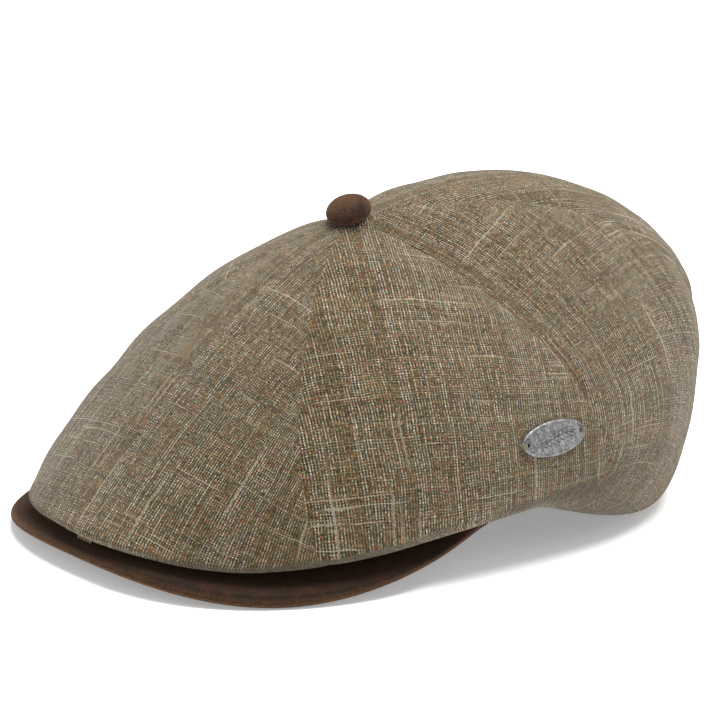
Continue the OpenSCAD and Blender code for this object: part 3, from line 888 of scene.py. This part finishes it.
def at_badge(p):
    """From the badge's own plane, bent to the cloth, to its place on the cap."""
    radius = badge_bend()
    x, y, z = p[..., 0], p[..., 1], p[..., 2]
    bent = np.stack([x, y, np.sqrt((radius + z) ** 2 - x**2) - radius], -1)
    normal = sheet_normal(np.float64(BADGE_A), np.float64(BADGE_U), CROWN)
    tip = 90 - math.degrees(math.asin(normal[2]))
    heading = math.degrees(math.atan2(normal[0], -normal[1]))
    turn = turn_z(heading) @ turn_x(tip) @ turn_z(BADGE_TURN)
    return bent @ turn.T + sheet_point(BADGE_A, BADGE_U, CROWN) + BADGE_CLEAR * normal


def sprig():
    """Lines of the badge's ornament: a bent stem and pairs of curved needles, as points in its plane."""
    length, bow, slant = 3.2, 0.5, 34

    def stem(x):
        return np.stack([x, 0.7 * np.sin(x / 3.6)], -1)

    lines = [stem(np.linspace(-9.5, 9.5, 60))]
    share = np.linspace(0, 1, 13)
    for x in np.arange(-7.2, 7, 2.2):
        for side in (-1, 1):
            needle = np.stack([length * share, bow * side * np.sin(np.pi * share)], -1)
            lines.append(needle @ turn_z(slant * side)[:2, :2].T + stem(x))
    return lines


def groove_depth(x, y):
    """How deep the badge is cut at a place, from 0 to 1: its border line and its ornament."""
    half_l, half_w = BADGE_L / 2, BADGE_W / 2
    border_cut, border_in, border_w, line_w = 0.4, 1.15, 0.16, 0.17
    angle = np.arctan2(y / BADGE_W, x / BADGE_L)
    radius = np.hypot(x / half_l, y / half_w)
    reach = half_l * half_w / np.hypot(half_w * np.cos(angle), half_l * np.sin(angle))
    cut = border_cut * np.exp(-((((1 - radius) * reach - border_in) / border_w) ** 2))
    for line in sprig():
        for (x0, y0), (x1, y1) in zip(line[:-1], line[1:]):
            length2 = (x1 - x0) ** 2 + (y1 - y0) ** 2
            share = np.clip(((x - x0) * (x1 - x0) + (y - y0) * (y1 - y0)) / length2, 0, 1)
            away2 = (x - x0 - share * (x1 - x0)) ** 2 + (y - y0 - share * (y1 - y0)) ** 2
            cut = np.maximum(cut, np.exp(-away2 / line_w**2))
    return cut


def badge_plate():
    """The flat oval plate, with a bevelled edge and an engraved line and sprig."""
    bevel_h, bevel_w, engraving, dent_h, sides = 0.4, 0.55, 0.2, 0.035, 256
    around = np.linspace(0, 360, sides, endpoint=False)
    out = np.concatenate([np.linspace(0.012, 0.93, 74), np.linspace(0.93, 1, 12)[1:]])[:, None]
    x, y = BADGE_L / 2 * out * cos(around), BADGE_W / 2 * out * sin(around)
    reach = (BADGE_W / 2) * (1 - out) * (1.0 + 0 * around)
    bevel = bevel_h * (1 - np.sqrt(1 - np.clip(1 - reach / bevel_w, 0, 1) ** 2))
    dent = dent_h * wobble(np.stack([x, y, 0 * x], -1), 5.5, 4)
    top = BADGE_T - bevel - engraving * groove_depth(x, y) + dent
    upper = np.stack([x, y, top], -1)
    lower = np.stack([x, y, 0 * top + 0.02], -1)[::-1][::6]
    points = np.concatenate([upper, lower])
    return new_mesh("badge_oval", points, tube_faces(len(points), sides), PEWTER)


def drill(plate):
    """Cuts the flat badge's two holes, one near each end."""
    cutters = []
    for side in (-1, 1):
        profile = [(0.001, -1), (BADGE_HOLE_R, -1), (BADGE_HOLE_R, 3), (0.001, 3)]
        points, faces = lathe(profile, 32)
        cutter = new_mesh("drill", points + [side * BADGE_HOLE_X, 0, 0], faces, PEWTER)
        hole = plate.modifiers.new("hole", "BOOLEAN")
        hole.operation = "DIFFERENCE"
        hole.object = cutter
        cutters.append(cutter)
    bake_modifiers(plate)
    for cutter in cutters:
        bpy.data.objects.remove(cutter)


def make_badge():
    """The plate, engraved and drilled while flat, then bent to the cloth."""
    badge = badge_plate()
    drill(badge)
    flat = np.array([v.co for v in badge.data.vertices])
    upper_face = flat[:, 2] > 0.5
    paint(badge, "groove", groove_depth(flat[:, 0], flat[:, 1]) * upper_face)
    badge.data.vertices.foreach_set("co", place(at_badge(flat)).astype(np.float32).ravel())
    badge.data.update()
    ride(badge, "badge_plate")


def tubes(name, paths, radius, material, sides=8):
    """Round threads along paths of points in millimetres, with tapered ends, as one mesh."""
    points, faces, start = [], [], 0
    around = np.linspace(0, 360, sides, endpoint=False)
    for path in paths:
        path = np.asarray(path, float)
        ahead = unit(np.gradient(path, axis=0))
        side = unit(np.cross(ahead, [0.31, 0.22, 0.93]))
        above = np.cross(ahead, side)
        taper = np.ones(len(path))
        taper[[0, -1]] = 0.45
        ring = side[:, None] * cos(around)[:, None] + above[:, None] * sin(around)[:, None]
        points.append((path[:, None] + radius * taper[:, None, None] * ring).reshape(-1, 3))
        faces += [tuple(start + i for i in face) for face in tube_faces(len(path), sides)]
        start += len(path) * sides
    return new_mesh(name, place(np.concatenate(points)), faces, material)


def make_badge_threads():
    """Three strands from each hole over the badge's end and down into the cloth."""
    run = np.linspace(0, 1, 15)
    strands = []
    for side in (-1, 1):
        for k in (-1, 0, 1):
            x = side * (BADGE_HOLE_X + 0.25 + (2.95 - 0.2 * abs(k)) * run)
            y = k * (0.34 + 0.3 * run)
            z = -0.5 + (BADGE_T + 0.72) * (1 - np.abs(2 * run - 1) ** 5)
            strands.append(at_badge(np.stack([x, y, z], -1)))
    threads = tubes("badge_stitches", strands, 0.27, BADGE_THREAD)
    ride(threads, "badge_threads")


def strip_point(a, inset, z):
    """A point this far inside the hem and this high above it, on the sweatband's slant."""
    p = hem_point(a)
    outward = hem_point(a, 1) - p
    moved = outward * (-np.asarray(inset) - BAND_LEAN * np.asarray(z))[..., None]
    return p + moved + np.stack([0 * z, 0 * z, z], -1)


def make_sweatband():
    """A ribbed band standing inside the hem, with a soft fold along its top and bottom."""
    around = np.linspace(0, 360, 361)[:-1][None]
    middle, half = BAND_INSET + BAND_T / 2, BAND_T / 2
    low, high = 0.7, BAND_H - 0.5
    turns = np.linspace(0, 180, 7)
    side = np.linspace(low, high, 14)[1:-1]
    inset = middle + half * np.concatenate([cos(turns), 0 * side - 1, -cos(turns), 0 * side + 1])
    z = np.concatenate([low - half * sin(turns), side, high + half * sin(turns), side[::-1]])
    inset, z = inset[:, None] + 0 * around, z[:, None] + 0 * around
    ripple = 0.25 * sin(around * 11) * sin(around * 3 + 40) * (inset > middle - 0.01)
    points = strip_point(around, inset + ripple, z)
    faces = [f[::-1] for f in grid_faces(len(z), around.shape[1], wrap_rows=True, wrap_cols=True)]
    girth = np.concatenate([[0], np.cumsum(np.linalg.norm(np.diff(points[0], axis=0), axis=-1))])
    uv = np.stack([girth[None] + 0 * z, z], -1) / 1000
    band = new_mesh("sweatband_ribbed", place(points), faces, GROSGRAIN, uv)
    ride(band, "sweatband")


def make_label(name, node, a0, a1, low, high):
    """A blank label, slightly bowed, on the sweatband from direction a0 to a1."""
    around = np.linspace(a0, a1, 25)[None]
    z = np.linspace(low, high, 17)[:, None]
    bow = 0.15 * sin((z - low) / (high - low) * 180) * (1 + 0 * around)
    inset = BAND_INSET + BAND_T + 0.35 + bow
    face = strip_point(around, inset + 0.25, z + 0 * around)
    back = strip_point(around, inset, z + 0 * around)
    width = np.linalg.norm(face[0, -1] - face[0, 0])
    across = np.linspace(-width / 2, width / 2, 25)[None] + 0 * z
    uv = np.stack([across, z + 0 * around], -1) / 1000
    label = shell(name, back, face, LABEL, uv, rim=2)
    ride(label, node)


def make_band_stitches():
    """A row of running stitches low on the sweatband's inner face."""
    step, reach = 6, 1.2
    inset = BAND_INSET + BAND_T + 0.2
    run = np.linspace(-1, 1, 9)
    paths = []
    for a in np.arange(step / 2, 360, step):
        arch = inset + 0.35 * (1 - run**4)
        paths.append(strip_point(a + reach * run, arch, 2.5 + 0 * run))
    stitches = tubes("sweatband_thread", paths, 0.28, TACK_THREAD)
    ride(stitches, "sweatband_stitches")


def use_cad(material, slot, *nodes):
    """Gives CAD pieces that keep their shape a finished material."""
    for name in nodes:
        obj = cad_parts[name]
        obj.data.materials.clear()
        obj.data.materials.append(material)


add_camera()
add_stage()
make_crown()
make_lining()
make_visor()
make_button()
make_badge()
make_badge_threads()
make_sweatband()
make_label("size_label_blank", "size_label", 172, 188, 6, 24)
make_label("care_label_blank", "care_label", 150, 162, 4, 28)
make_band_stitches()
use_cad(FELT, "interlining", "front_interlining")
use_cad(TACK_THREAD, "thread", "front_tack")
use_cad(STEEL, "button_metal", "button_shell", "button_back_plate", "button_rivet", "button_washer")
